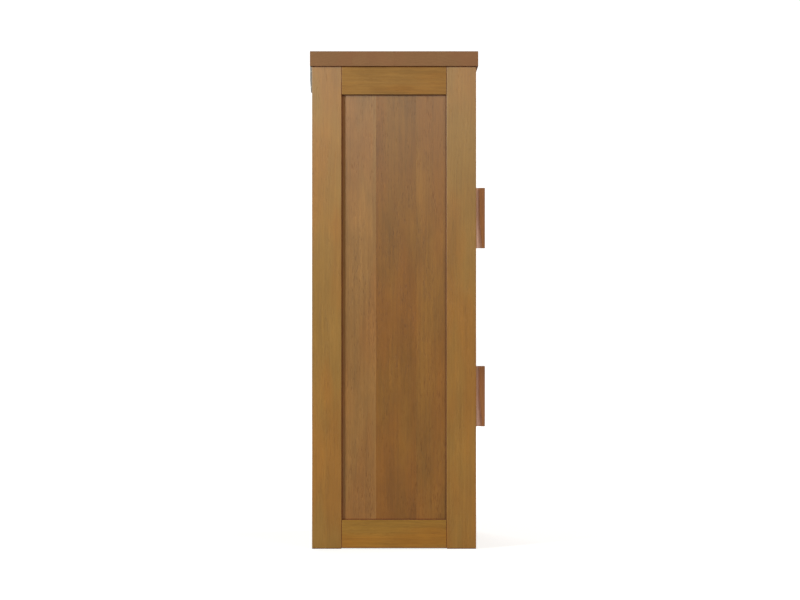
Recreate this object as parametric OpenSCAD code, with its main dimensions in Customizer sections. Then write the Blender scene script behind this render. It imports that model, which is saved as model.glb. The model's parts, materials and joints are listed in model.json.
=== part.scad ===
// Slim pantry cabinet: solid wood, frame-and-panel sides, two stacked inset doors on butt hinges.
// Units are millimetres. X runs across the front, -Y is the front, +Z is up.
// The origin is on the floor, at the middle of the box that holds the whole cabinet.

/* [Overall size] */
// Width across the two side frames
body_w = 450; // [380:5:600]
// Depth of the side frames, from the back edge to the front edge
body_d = 400; // [320:5:500]
// Height from the floor to the top of the top board
body_h = 1212; // [1050:2:1500]

/* [Top board] */
// Thickness of the top board
top_t = 36; // [18:1:45]
// How far the top board stands past the body on all four sides
top_over = 5; // [4:1:18]

/* [Side frames] */
// Thickness of the side stiles and rails
side_t = 24; // [22:1:32]
// Width of the side stiles
stile_w = 72; // [64:1:90]
// Height of the side rails and of the front top and bottom rails
rail_w = 69; // [55:1:90]
// Gap between the floor and the bottom rails; the stiles stand on the floor
rail_lift = 1.5; // [1:0.5:10]
// Thickness of the flat panels in the sides and doors
panel_t = 8; // [6:0.5:10]
// Depth of the grooves that hold the panels
groove_d = 9; // [6:1:12]
// Length of the tenons on the side rails
side_tenon_l = 30; // [15:1:40]

/* [Front and back] */
// Thickness of the front rails and of the doors
front_t = 22; // [20:1:26]
// Height of the rail between the two doors
middle_rail_w = 32; // [24:1:60]
// Length of the tenons on the front and back rails
cross_tenon_l = 14; // [8:1:16]
// Thickness of the plywood back panel
back_t = 6; // [4:1:9]
// Width of the rebate that holds the back panel
back_rebate = 8; // [5:1:12]
// Thickness of the two back rails
back_rail_t = 20; // [16:1:26]

/* [Shelves] */
// Thickness of the bottom board and the shelves
shelf_t = 18; // [16:1:22]
// Depth of the housings that hold the bottom board and the middle shelf
housing_d = 5; // [3:0.5:5]
// Setback of the loose shelves behind the doors
shelf_setback = 20; // [20:1:60]
// Radius of the shelf pins
pin_r = 2.5; // [2:0.5:3]
// Distance between shelf pin holes
pin_pitch = 32; // [25:1:40]
// Number of pin holes above and below the middle hole of each row
pin_steps = 3; // [1:1:3]

/* [Doors] */
// Gap round each door
door_gap = 2; // [1.5:0.25:3]
// Width of the door stiles
door_stile_w = 62; // [50:1:80]
// Height of the door rails
door_rail_w = 62; // [50:1:80]
// Length of the tenons on the door rails
door_tenon_l = 28; // [15:1:35]

/* [Handles] */
// Length of each wooden handle
handle_l = 148; // [120:1:180]
// How far a handle stands out from the door
handle_p = 23; // [21:1:32]
// Width of a handle
handle_w = 24; // [20:1:30]
// Distance between the two screws of a handle
handle_pitch = 128; // [96:1:128]
// Distance from the middle of the door opening to the middle of each handle
handle_offset = 219; // [180:1:240]
// Radius of the finger grooves
groove_r = 10; // [8:0.5:12]
// Depth of the finger grooves
scoop_d = 6; // [3:0.5:6.5]
// How far the finger grooves reach out from the door
groove_reach = 10; // [8:0.5:12]
// How much further out they reach at the handle's lower end
scoop_lean = 6; // [0:0.5:7]

/* [Hinges] */
// Height of each hinge
hinge_h = 50; // [40:5:70]
// Width of a hinge leaf
leaf_w = 18; // [14:1:19]
// Thickness of a hinge leaf
leaf_t = 1.2; // [1:0.1:1.4]
// Radius of the hinge barrel
barrel_r = 3; // [2.5:0.25:4]
// Radius of the hinge pin
hinge_pin_r = 1.5; // [1:0.25:1.75]
// Distance from each end of a door to the middle of its hinge
hinge_inset = 75; // [50:1:120]

/* [Catches] */
// Height of a magnetic catch
catch_h = 46; // [40:1:60]
// Width of a catch, from the stile it is screwed to
catch_w = 13; // [12:0.5:18]
// Depth of a catch, behind the door
catch_d = 15; // [12:0.5:18]
// Distance from the outer end of a door to the middle of its catch
catch_inset = 95; // [60:1:150]
// Thickness of the strike plate on the door
strike_t = 1.5; // [1:0.25:2]

/* [Wall plates] */
// Width of a wall plate
plate_w = 44; // [40:1:46]
// Height of a wall plate
plate_h = 61; // [55:1:68]
// Thickness of its steel
plate_t = 1.5; // [1:0.25:2]
// Width of its raised middle
plate_raise_w = 24; // [20:1:26]
// Radius of the round end of its keyhole
keyhole_r = 4.5; // [4:0.25:5.5]

/* [Hidden] */
$fn = 48;

// Colours of the finishes
oak = [0.62, 0.44, 0.24];
panel_oak = [0.56, 0.40, 0.23];
top_oak = [0.54, 0.38, 0.26];
dark_wood = [0.50, 0.31, 0.18];
plywood = [0.70, 0.56, 0.38];
steel = [0.62, 0.62, 0.63];
brass = [0.66, 0.56, 0.36];
brown_plastic = [0.30, 0.19, 0.12];

// Clearances: glued wood joints, floating panels, steel in wood, running fits
wood_fit = 0.1;
panel_fit = 0.15;
panel_float = 1;
screw_fit = 0.05;
run_fit = 0.05;
past = 1;

// Screw heads: the cross recess and the taper of a raised head, as shares of the head's radius
recess_span = 0.55;
recess_width = 0.11;
recess_depth = 0.4;
pan_taper = 0.8;

// Planes of the body
y_back = (body_d + handle_p - top_over) / 2;
y_front = y_back - body_d;
x_out = body_w / 2;
x_in = x_out - side_t;
x_mid = x_out - side_t / 2;
side_h = body_h - top_t;
panel_y0 = y_front + stile_w;
panel_y1 = y_back - stile_w;
open_z0 = rail_lift + rail_w;
open_z1 = side_h - rail_w;
open_mid = (open_z0 + open_z1) / 2;
middle_z0 = open_mid - middle_rail_w / 2;
middle_z1 = open_mid + middle_rail_w / 2;
back_rail_y = y_back - back_t - back_rail_t;

// Tenons: a third of the wood's thickness, with a shoulder above and below
tenon_t = panel_t;
shoulder = 12;
middle_shoulder = 6;
tongue = groove_d - panel_float;

// Doors
door_w = 2 * (x_in - door_gap);
door_x0 = -door_w / 2;
door_x1 = door_w / 2;
door_spans = [[middle_z1 + door_gap, open_z1 - door_gap], [open_z0 + door_gap, middle_z0 - door_gap]];
handle_x = door_x0 + door_stile_w / 2;
handle_zs = [open_mid + handle_offset, open_mid - handle_offset];
handle_screw_r = 2;
handle_screw_bite = 10;
handle_head_r = 4;
handle_head_h = 2.4;

// Hinges: the barrel stands in front of the gap on the right side
hinge_x = x_in - door_gap / 2;
barrel_gap = 0.2;
hinge_y = y_front - barrel_r - barrel_gap;
leaf_gap = 0.3;
knuckles = 5;
knuckle_gap = 0.2;
knuckle_room = 0.15;
pin_cap_h = 1.5;
pin_cap_r = barrel_r - 0.4;
screw_r = 1.6;
screw_head_r = 3;
leaf_screw_l = 14;
leaf_screw_y = y_front + leaf_w / 2;
leaf_screw_step = 17;

// Shelf pins
pin_hole_d = 10;
pin_end_gap = 1;
pin_stand = 8;
pin_flat = pin_r - 0.4;
collar_t = 0.8;
collar_rise = 0.6;
pin_inset = 50;
pin_y0 = y_front + pin_inset;
pin_y1 = y_back - pin_inset;
pin_z_upper = (middle_z1 + side_h) / 2;
pin_z_lower = (open_z0 + middle_z0 - shelf_t) / 2;
pin_row_zs = [pin_z_upper, pin_z_lower];
shelf_side_gap = 1;
shelf_back_gap = 2;

// Catches: on the left front stile, behind the strike plates
catch_gap = 0.4;
catch_y0 = y_front + front_t + strike_t + catch_gap;
catch_x0 = -x_in;
pole_t = 2;
pole_h = 26;
pole_w = 7;
pole_d = 10;
pole_proud = 0.1;
strike_w = 16;
strike_margin = 0.5;
strike_h = 38;
strike_x0 = door_x0 + strike_margin;
strike_x = strike_x0 + strike_w / 2;
catch_zs = [door_spans[0][1] - catch_inset, door_spans[1][0] + catch_inset];
catch_screw_step = 36;
catch_screw_l = 18;

// Top cleats
cleat_s = 20;
cleat_gap = 4;
cleat_y0 = y_front + front_t + cleat_gap;
cleat_y1 = back_rail_y - cleat_gap;
cleat_up_inset = 40;
cleat_side_inset = 75;
cleat_screw_r = 2;
cleat_head_r = 3.8;
cleat_up_l = 38;
cleat_side_l = 32;

// Wall plates: centred near the inner edge of each back stile
plate_edge = 2;
plate_x = x_out - plate_edge - plate_w / 2;
plate_drop = 0.5;
plate_z0 = side_h - plate_h - plate_drop;
plate_low_d = 3.2;
plate_high_d = top_over;
plate_ramp = plate_h / 2;
keyhole_z = 36;
keyhole_slot_r = 2.25;
keyhole_rise = 13;
plate_screw_zs = [10, plate_h - 12];
plate_screw_r = 1.8;
plate_screw_l = 18;
plate_head_r = 3.2;
plate_head_h = 1.8;

// A box between two corners
module block(low, high) {
    translate(low)
        cube(high - low);
}

// A cylinder from one point along an axis direction, as rotations about X and Y
module rod_x(from, length, r) {
    translate(from)
        rotate([0, length < 0 ? -90 : 90, 0])
            cylinder(h = abs(length), r = r);
}

module rod_y(from, length, r) {
    translate(from)
        rotate([length < 0 ? 90 : -90, 0, 0])
            cylinder(h = abs(length), r = r);
}

// The cross recess in a screw head, cut inwards along +Z from the head's face
module cross_recess(head_r) {
    for (angle = [0, 90])
        rotate([0, 0, angle])
            block([-head_r * recess_span, -head_r * recess_width, -past],
                  [head_r * recess_span, head_r * recess_width, head_r * recess_depth]);
}

// A countersunk wood screw along +X, its flat head at the origin. With grow, it is the hole for one
module csk_screw(length, r, head_r, grow = 0) {
    rotate([0, 90, 0])
        difference() {
            union() {
                cylinder(h = head_r - r, r1 = head_r + grow, r2 = r + grow);
                cylinder(h = length + grow, r = r + grow);
            }
            if (grow == 0)
                cross_recess(head_r);
        }
}

// A screw along +Z with a raised head under the origin. With grow, it is the hole for one
module pan_screw(length, r, head_r, head_h, grow = 0) {
    difference() {
        union() {
            cylinder(h = length, r = r + grow);
            translate([0, 0, -head_h])
                cylinder(h = head_h, r1 = head_r * pan_taper + grow, r2 = head_r + grow);
        }
        if (grow == 0)
            translate([0, 0, -head_h])
                cross_recess(head_r);
    }
}

// ---- Side frames, drawn for the right side ----

// A tenon slot cut into the inner edge of a side stile
module side_mortise(z0, z1) {
    block([x_mid - tenon_t / 2 - wood_fit, stile_w - side_tenon_l - wood_fit, z0 + shoulder],
          [x_mid + tenon_t / 2 + wood_fit, stile_w + past, z1 - shoulder]);
}

// A tenon slot cut into the inner face of a side stile
module cross_mortise(depth_mid, z0, z1, step) {
    block([x_in - past, depth_mid - tenon_t / 2 - wood_fit, z0 + step],
          [x_in + cross_tenon_l + wood_fit, depth_mid + tenon_t / 2 + wood_fit, z1 - step]);
}

// A housing cut into the inner face of a side stile, for a shelf end
module housing(from, z_top) {
    block([x_in - past, from, z_top - shelf_t],
          [x_in + housing_d, stile_w + past, z_top]);
}

// One side stile, with Y counted inwards from its outer edge
module side_stile(cross_mid, housing_from, pin_depth) {
    difference() {
        block([x_in, 0, 0], [x_out, stile_w, side_h]);
        block([x_mid - panel_t / 2 - panel_fit, stile_w - groove_d, open_z0 - groove_d],
              [x_mid + panel_t / 2 + panel_fit, stile_w + past, open_z1 + groove_d]);
        side_mortise(rail_lift, open_z0);
        side_mortise(open_z1, side_h);
        cross_mortise(cross_mid, open_z1, side_h, shoulder);
        housing(housing_from, open_z0);
        housing(housing_from, middle_z1);
        for (row_z = pin_row_zs)
            for (i = [-pin_steps:pin_steps])
                rod_x([x_in - past, pin_depth, row_z + i * pin_pitch], pin_hole_d + past, pin_r + screw_fit);
    }
}

module front_stile() {
    translate([0, y_front, 0])
        difference() {
            side_stile(front_t / 2, front_t, pin_y0 - y_front);
            cross_mortise(front_t / 2, rail_lift, open_z0, shoulder);
            cross_mortise(front_t / 2, middle_z0, middle_z1, middle_shoulder);
        }
}

module back_stile() {
    translate([0, y_back, 0])
        mirror([0, 1, 0])
            difference() {
                side_stile(back_t + back_rail_t / 2, back_t, y_back - pin_y1);
                cross_mortise(back_t + back_rail_t / 2, rail_lift, open_z0 - shelf_t, shoulder);
                block([x_in - past, -past, rail_lift], [x_in + back_rebate, back_t, side_h + past]);
            }
}

// A side rail between two stiles, with a tenon at each end
module side_rail(z0, z1) {
    block([x_in, panel_y0, z0], [x_out, panel_y1, z1]);
    block([x_mid - tenon_t / 2, panel_y0 - side_tenon_l, z0 + shoulder + wood_fit],
          [x_mid + tenon_t / 2, panel_y1 + side_tenon_l, z1 - shoulder - wood_fit]);
}

// The groove for the panel, in the edge of a side rail
module side_rail_groove(z0, z1) {
    block([x_mid - panel_t / 2 - panel_fit, panel_y0 - past, z0],
          [x_mid + panel_t / 2 + panel_fit, panel_y1 + past, z1]);
}

module top_side_rail() {
    difference() {
        side_rail(open_z1, side_h);
        side_rail_groove(open_z1 - past, open_z1 + groove_d);
    }
}

module bottom_side_rail() {
    difference() {
        side_rail(rail_lift, open_z0);
        side_rail_groove(open_z0 - groove_d, open_z0 + past);
        block([x_in - past, panel_y0 - past, open_z0 - shelf_t],
              [x_in + housing_d, panel_y1 + past, open_z0 + past]);
    }
}

module side_panel() {
    block([x_mid - panel_t / 2, panel_y0 - tongue, open_z0 - tongue],
          [x_mid + panel_t / 2, panel_y1 + tongue, open_z1 + tongue]);
}

module left() {
    mirror([1, 0, 0])
        children();
}

module right_front_stile() {
    color(oak)
        difference() {
            front_stile();
            for (span = door_spans)
                for (z = hinge_zs(span)) {
                    frame_leaf_recess(z);
                    leaf_screw_set(z, 1, screw_fit);
                }
        }
}

module left_front_stile() {
    color(oak)
        difference() {
            left()
                front_stile();
            for (z = catch_zs)
                catch_screw_pair(z, screw_fit);
        }
}

module right_back_stile() {
    color(oak)
        difference() {
            back_stile();
            plate_screw_set(plate_x, screw_fit);
        }
}

module left_back_stile() {
    color(oak)
        difference() {
            left()
                back_stile();
            plate_screw_set(-plate_x, screw_fit);
        }
}

module right_top_rail() {
    color(oak)
        difference() {
            top_side_rail();
            cleat_side_screws(screw_fit);
        }
}

module left_top_rail() {
    color(oak)
        left()
            difference() {
                top_side_rail();
                cleat_side_screws(screw_fit);
            }
}

module right_bottom_rail() {
    color(oak)
        bottom_side_rail();
}

module left_bottom_rail() {
    color(oak)
        left()
            bottom_side_rail();
}

module right_panel() {
    color(panel_oak)
        side_panel();
}

module left_panel() {
    color(panel_oak)
        left()
            side_panel();
}

// ---- Top, front and back ----

module top_board() {
    color(top_oak)
        difference() {
            block([-x_out - top_over, y_front - top_over, side_h],
                  [x_out + top_over, y_back + top_over, body_h]);
            cleat_up_screws(screw_fit);
            left()
                cleat_up_screws(screw_fit);
        }
}

// A rail between the two sides, with a tenon at each end
module cross_rail(y0, y1, z0, z1, step) {
    y_mid = (y0 + y1) / 2;
    block([-x_in, y0, z0], [x_in, y1, z1]);
    block([-x_in - cross_tenon_l, y_mid - tenon_t / 2, z0 + step + wood_fit],
          [x_in + cross_tenon_l, y_mid + tenon_t / 2, z1 - step - wood_fit]);
}

module front_top_rail() {
    color(oak)
        cross_rail(y_front, y_front + front_t, open_z1, side_h, shoulder);
}

module front_middle_rail() {
    color(oak)
        cross_rail(y_front, y_front + front_t, middle_z0, middle_z1, middle_shoulder);
}

module front_bottom_rail() {
    color(oak)
        cross_rail(y_front, y_front + front_t, rail_lift, open_z0, shoulder);
}

module back_top_rail() {
    color(oak)
        difference() {
            cross_rail(back_rail_y, y_back - back_t, open_z1, side_h, shoulder);
            plate_screw_set(plate_x, screw_fit);
            plate_screw_set(-plate_x, screw_fit);
        }
}

module back_bottom_rail() {
    color(oak)
        cross_rail(back_rail_y, y_back - back_t, rail_lift, open_z0 - shelf_t, shoulder);
}

module back_panel() {
    half = x_in + back_rebate - wood_fit;
    color(plywood)
        difference() {
            block([-half, y_back - back_t, rail_lift + wood_fit], [half, y_back, side_h]);
            plate_screw_set(plate_x, screw_fit);
            plate_screw_set(-plate_x, screw_fit);
        }
}

// ---- Shelves ----

// A fixed board whose ends sit in the housings
module housed_board(z_top) {
    half = x_in + housing_d - wood_fit;
    block([-half, y_front + front_t, z_top - shelf_t + wood_fit], [half, y_back - back_t, z_top]);
}

module bottom_board() {
    color(oak)
        housed_board(open_z0);
}

module middle_shelf() {
    color(oak)
        housed_board(middle_z1);
}

// A loose shelf that lies on its four pins
module loose_shelf(row_z) {
    half = x_in - shelf_side_gap;
    block([-half, y_front + front_t + shelf_setback, row_z + pin_flat],
          [half, y_back - back_t - shelf_back_gap, row_z + pin_flat + shelf_t]);
}

module upper_shelf() {
    color(oak)
        loose_shelf(pin_z_upper);
}

module lower_shelf() {
    color(oak)
        loose_shelf(pin_z_lower);
}

// A steel pin in the right side, with a flat for the shelf and a thin collar against the stile
module shelf_pin(y, z) {
    difference() {
        rod_x([x_in - pin_stand, y, z], pin_stand, pin_r);
        block([x_in - pin_stand - past, y - 2 * pin_r, z + pin_flat],
              [x_in + past, y + 2 * pin_r, z + 2 * pin_r]);
    }
    rod_x([x_in - collar_t, y, z], collar_t + pin_hole_d - pin_end_gap, pin_r);
    rod_x([x_in - collar_t, y, z], collar_t, pin_r + collar_rise);
}

module shelf_pins() {
    color(steel)
        for (z = pin_row_zs)
            for (y = [pin_y0, pin_y1]) {
                shelf_pin(y, z);
                left()
                    shelf_pin(y, z);
            }
}

// ---- Top cleats ----

module cleat() {
    difference() {
        block([x_in - cleat_s, cleat_y0, side_h - cleat_s], [x_in, cleat_y1, side_h]);
        cleat_up_screws(screw_fit);
        cleat_side_screws(screw_fit);
    }
}

// The screws that rise through a cleat into the top board
module cleat_up_screws(grow = 0) {
    for (y = [cleat_y0 + cleat_up_inset, cleat_y1 - cleat_up_inset])
        translate([x_in - cleat_s / 2, y, side_h - cleat_s])
            rotate([0, -90, 0])
                csk_screw(cleat_up_l, cleat_screw_r, cleat_head_r, grow);
}

// The screws that pass through a cleat into the side's top rail
module cleat_side_screws(grow = 0) {
    for (y = [cleat_y0 + cleat_side_inset, cleat_y1 - cleat_side_inset])
        translate([x_in - cleat_s, y, side_h - cleat_s / 2])
            csk_screw(cleat_side_l, cleat_screw_r, cleat_head_r, grow);
}

module right_top_cleat() {
    color(oak)
        cleat();
}

module left_top_cleat() {
    color(oak)
        left()
            cleat();
}

module cleat_screws() {
    color(brass) {
        cleat_up_screws();
        cleat_side_screws();
        left()
            cleat_up_screws();
        left()
            cleat_side_screws();
    }
}

// ---- Wall plates ----

// The side outline of the raised middle, given its inset from the outer faces
module plate_outline(inset) {
    low = inset ? -past : 0;
    polygon([
        [low, low],
        [plate_low_d - inset, low],
        [plate_high_d - inset, plate_ramp],
        [plate_high_d - inset, plate_h - low],
        [low, plate_h - low],
    ]);
}

module wall_plate(x) {
    color(steel)
        difference() {
            translate([x, y_back, plate_z0])
                difference() {
                    union() {
                        block([-plate_w / 2, 0, 0], [plate_w / 2, plate_t, plate_h]);
                        translate([-plate_raise_w / 2, 0, 0])
                            rotate([90, 0, 90])
                                linear_extrude(plate_raise_w)
                                    plate_outline(0);
                    }
                    translate([plate_t - plate_raise_w / 2, 0, 0])
                        rotate([90, 0, 90])
                            linear_extrude(plate_raise_w - 2 * plate_t)
                                plate_outline(plate_t);
                    rod_y([0, 0, keyhole_z], plate_high_d + past, keyhole_r);
                    rod_y([0, 0, keyhole_z + keyhole_rise], plate_high_d + past, keyhole_slot_r);
                    block([-keyhole_slot_r, 0, keyhole_z],
                          [keyhole_slot_r, plate_high_d + past, keyhole_z + keyhole_rise]);
                }
            plate_screw_set(x, screw_fit);
        }
}

// The four raised-head screws of one wall plate
module plate_screw_set(x, grow = 0) {
    inset = (plate_w + plate_raise_w) / 4;
    for (side = [-inset, inset])
        for (z = plate_screw_zs)
            translate([x + side, y_back + plate_t, plate_z0 + z])
                rotate([90, 0, 0])
                    pan_screw(plate_screw_l, plate_screw_r, plate_head_r, plate_head_h, grow);
}

module left_wall_plate() {
    wall_plate(-plate_x);
}

module right_wall_plate() {
    wall_plate(plate_x);
}

module wall_plate_screws() {
    color(steel) {
        plate_screw_set(plate_x);
        plate_screw_set(-plate_x);
    }
}

// ---- Catches ----

module catch_pole_pair(z, grow = 0) {
    for (side = [-1, 1])
        translate([catch_x0 + catch_w / 2 + side * (pole_w - pole_t) / 2, catch_y0 - pole_proud, z])
            block([-pole_t / 2 - grow, 0, -pole_h / 2 - grow],
                  [pole_t / 2 + grow, pole_d + grow, pole_h / 2 + grow]);
}

// The two screws that hold a catch to the stile
module catch_screw_pair(z, grow = 0) {
    for (side = [-0.5, 0.5])
        translate([catch_x0 + catch_w, catch_y0 + catch_d / 2, z + side * catch_screw_step])
            rotate([0, 0, 180])
                csk_screw(catch_screw_l + catch_w / 2, screw_r, screw_head_r, grow);
}

module catch_body(z) {
    color(brown_plastic)
        difference() {
            block([catch_x0, catch_y0, z - catch_h / 2],
                  [catch_x0 + catch_w, catch_y0 + catch_d, z + catch_h / 2]);
            catch_pole_pair(z, screw_fit);
            catch_screw_pair(z, screw_fit);
        }
}

module upper_catch() {
    catch_body(catch_zs[0]);
}

module lower_catch() {
    catch_body(catch_zs[1]);
}

module catch_magnets() {
    color(steel)
        for (z = catch_zs)
            catch_pole_pair(z);
}

module catch_screws() {
    color(brass)
        for (z = catch_zs)
            catch_screw_pair(z);
}

module strike(z) {
    color(steel)
        difference() {
            block([strike_x0, y_front + front_t, z - strike_h / 2],
                  [strike_x0 + strike_w, y_front + front_t + strike_t, z + strike_h / 2]);
            strike_screw(z, screw_fit);
        }
}

// The countersunk screw in the middle of a strike plate
module strike_screw(z, grow = 0) {
    translate([strike_x, y_front + front_t + strike_t, z])
        rotate([0, 0, -90])
            csk_screw(leaf_screw_l, screw_r, screw_head_r, grow);
}

// ---- Hinges ----

function hinge_zs(span) = [span[1] - hinge_inset, span[0] + hinge_inset];

// The barrel pieces of one leaf: every second knuckle, starting at the first or the second
module knuckle_row(z, first) {
    length = hinge_h / knuckles;
    for (i = [first:2:knuckles - 1])
        translate([hinge_x, hinge_y, z - hinge_h / 2 + i * length + knuckle_gap / 2])
            cylinder(h = length - knuckle_gap, r = barrel_r);
}

// The gaps in one leaf that leave room for the other leaf's knuckles
module knuckle_gaps(z, first) {
    length = hinge_h / knuckles;
    reach = barrel_r + knuckle_room;
    for (i = [first:2:knuckles - 1])
        block([hinge_x - reach, hinge_y - reach, z - hinge_h / 2 + i * length - knuckle_gap / 2],
              [hinge_x + reach, hinge_y + reach, z - hinge_h / 2 + (i + 1) * length + knuckle_gap / 2]);
}

// One leaf: side is 1 for the frame leaf and -1 for the door leaf
module leaf(z, side, first) {
    color(brass)
        difference() {
            union() {
                knuckle_row(z, first);
                difference() {
                    leaf_plate(z, side);
                    knuckle_gaps(z, 1 - first);
                }
            }
            translate([hinge_x, hinge_y, z - hinge_h / 2 - past])
                cylinder(h = hinge_h + 2 * past, r = hinge_pin_r + run_fit);
            leaf_screw_set(z, side, screw_fit);
        }
}

module leaf_plate(z, side) {
    near = side * leaf_gap / 2;
    far = side * (leaf_gap / 2 + leaf_t);
    block([hinge_x + min(near, far), hinge_y, z - hinge_h / 2 + knuckle_gap / 2],
          [hinge_x + max(near, far), y_front + leaf_w, z + hinge_h / 2 - knuckle_gap / 2]);
}

// The shallow recess in the stile that a frame leaf lies in
module frame_leaf_recess(z) {
    block([x_in - past, y_front - past, z - hinge_h / 2],
          [hinge_x + leaf_gap / 2 + leaf_t, y_front + leaf_w + wood_fit, z + hinge_h / 2]);
}

// The shallow recess in the door that a door leaf lies in
module door_leaf_recess(z) {
    block([hinge_x - leaf_gap / 2 - leaf_t, y_front - past, z - hinge_h / 2],
          [door_x1 + past, y_front + leaf_w + wood_fit, z + hinge_h / 2]);
}

// The three countersunk screws of one leaf
module leaf_screw_set(z, side, grow = 0) {
    for (i = [-1:1])
        translate([hinge_x + side * leaf_gap / 2, leaf_screw_y, z + i * leaf_screw_step])
            rotate([0, 0, side > 0 ? 0 : 180])
                csk_screw(leaf_screw_l, screw_r, screw_head_r, grow);
}

// A hinge pin with a small cap at each end
module hinge_pin(z) {
    translate([hinge_x, hinge_y, z - hinge_h / 2 - pin_cap_h]) {
        cylinder(h = hinge_h + 2 * pin_cap_h, r = hinge_pin_r);
        cylinder(h = pin_cap_h, r = pin_cap_r);
        translate([0, 0, hinge_h + pin_cap_h])
            cylinder(h = pin_cap_h, r = pin_cap_r);
    }
}

module hinge_pins() {
    color(brass)
        for (span = door_spans)
            for (z = hinge_zs(span))
                hinge_pin(z);
}

module frame_leaf_screws() {
    color(brass)
        for (span = door_spans)
            for (z = hinge_zs(span))
                leaf_screw_set(z, 1);
}

// ---- Doors: d is 0 for the upper door and 1 for the lower one ----

// A door stile; its Y faces are the front and back of the door
module door_stile(d, x0, x1, inner) {
    z0 = door_spans[d][0];
    z1 = door_spans[d][1];
    panel_mid = y_front + front_t / 2;
    reach = inner > 0 ? [x1 - groove_d, x1 + past] : [x0 - past, x0 + groove_d];
    slot = inner > 0 ? [x1 - door_tenon_l - wood_fit, x1 + past] : [x0 - past, x0 + door_tenon_l + wood_fit];
    difference() {
        block([x0, y_front, z0], [x1, y_front + front_t, z1]);
        block([reach[0], panel_mid - panel_t / 2 - panel_fit, z0 + door_rail_w - groove_d],
              [reach[1], panel_mid + panel_t / 2 + panel_fit, z1 - door_rail_w + groove_d]);
        for (base = [z0, z1 - door_rail_w])
            block([slot[0], panel_mid - tenon_t / 2 - wood_fit, base + shoulder],
                  [slot[1], panel_mid + tenon_t / 2 + wood_fit, base + door_rail_w - shoulder]);
    }
}

module door_hinge_stile(d) {
    color(oak)
        difference() {
            door_stile(d, door_x1 - door_stile_w, door_x1, -1);
            for (z = hinge_zs(door_spans[d])) {
                door_leaf_recess(z);
                leaf_screw_set(z, -1, screw_fit);
            }
        }
}

module door_handle_stile(d) {
    color(oak)
        difference() {
            door_stile(d, door_x0, door_x0 + door_stile_w, 1);
            handle_screw_pair(d, screw_fit);
            strike_screw(catch_zs[d], screw_fit);
        }
}

// A door rail between the two stiles, with a tenon at each end
module door_rail(z0) {
    panel_mid = y_front + front_t / 2;
    x0 = door_x0 + door_stile_w;
    x1 = door_x1 - door_stile_w;
    block([x0, y_front, z0], [x1, y_front + front_t, z0 + door_rail_w]);
    block([x0 - door_tenon_l, panel_mid - tenon_t / 2, z0 + shoulder + wood_fit],
          [x1 + door_tenon_l, panel_mid + tenon_t / 2, z0 + door_rail_w - shoulder - wood_fit]);
}

module door_rail_groove(z0, z1) {
    panel_mid = y_front + front_t / 2;
    block([door_x0 + door_stile_w - past, panel_mid - panel_t / 2 - panel_fit, z0],
          [door_x1 - door_stile_w + past, panel_mid + panel_t / 2 + panel_fit, z1]);
}

module door_top_rail(d) {
    z0 = door_spans[d][1] - door_rail_w;
    color(oak)
        difference() {
            door_rail(z0);
            door_rail_groove(z0 - past, z0 + groove_d);
        }
}

module door_bottom_rail(d) {
    z1 = door_spans[d][0] + door_rail_w;
    color(oak)
        difference() {
            door_rail(door_spans[d][0]);
            door_rail_groove(z1 - groove_d, z1 + past);
        }
}

module door_panel(d) {
    panel_mid = y_front + front_t / 2;
    edge = door_stile_w - tongue;
    rise = door_rail_w - tongue;
    color(panel_oak)
        block([door_x0 + edge, panel_mid - panel_t / 2, door_spans[d][0] + rise],
              [door_x1 - edge, panel_mid + panel_t / 2, door_spans[d][1] - rise]);
}

module door_screws(d) {
    color(brass) {
        for (z = hinge_zs(door_spans[d]))
            leaf_screw_set(z, -1);
        strike_screw(catch_zs[d]);
    }
}

// ---- Handles ----

// A finger groove along one side of a handle: upright in the upper half, leaning out below
module finger_groove(side) {
    half_chord = sqrt(groove_r * groove_r - (groove_r - scoop_d) * (groove_r - scoop_d));
    lean = atan(2 * scoop_lean / handle_l);
    translate([side * (handle_w / 2 + groove_r - scoop_d), half_chord - groove_reach, 0])
        for (angle = [0, -lean])
            rotate([angle, 0, 0])
                cylinder(h = 2 * handle_l, r = groove_r, center = true);
}

module handle(d) {
    color(dark_wood)
        difference() {
            translate([handle_x, y_front, handle_zs[d]])
                difference() {
                    block([-handle_w / 2, -handle_p, -handle_l / 2], [handle_w / 2, 0, handle_l / 2]);
                    finger_groove(-1);
                    finger_groove(1);
                }
            handle_screw_pair(d, screw_fit);
        }
}

// The two machine screws of a handle, with raised heads on the back of the door
module handle_screw_pair(d, grow = 0) {
    for (side = [-0.5, 0.5])
        translate([handle_x, y_front + front_t, handle_zs[d] + side * handle_pitch])
            rotate([90, 0, 0])
                pan_screw(front_t + handle_screw_bite, handle_screw_r, handle_head_r, handle_head_h, grow);
}

module handle_screws(d) {
    color(steel)
        handle_screw_pair(d);
}

top_board();
left_front_stile();
left_back_stile();
left_top_rail();
left_bottom_rail();
left_panel();
right_front_stile();
right_back_stile();
right_top_rail();
right_bottom_rail();
right_panel();
front_top_rail();
front_middle_rail();
front_bottom_rail();
back_top_rail();
back_bottom_rail();
back_panel();
bottom_board();
middle_shelf();
upper_shelf();
lower_shelf();
shelf_pins();
left_top_cleat();
right_top_cleat();
cleat_screws();
left_wall_plate();
right_wall_plate();
wall_plate_screws();
upper_catch();
lower_catch();
catch_magnets();
catch_screws();
leaf(hinge_zs(door_spans[0])[0], 1, 0);  // upper_top_frame_leaf
leaf(hinge_zs(door_spans[0])[1], 1, 0);  // upper_bottom_frame_leaf
leaf(hinge_zs(door_spans[1])[0], 1, 0);  // lower_top_frame_leaf
leaf(hinge_zs(door_spans[1])[1], 1, 0);  // lower_bottom_frame_leaf
frame_leaf_screws();
hinge_pins();
door_hinge_stile(0);  // upper_door_hinge_stile
door_handle_stile(0);  // upper_door_handle_stile
door_top_rail(0);  // upper_door_top_rail
door_bottom_rail(0);  // upper_door_bottom_rail
door_panel(0);  // upper_door_panel
handle(0);  // upper_handle
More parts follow.
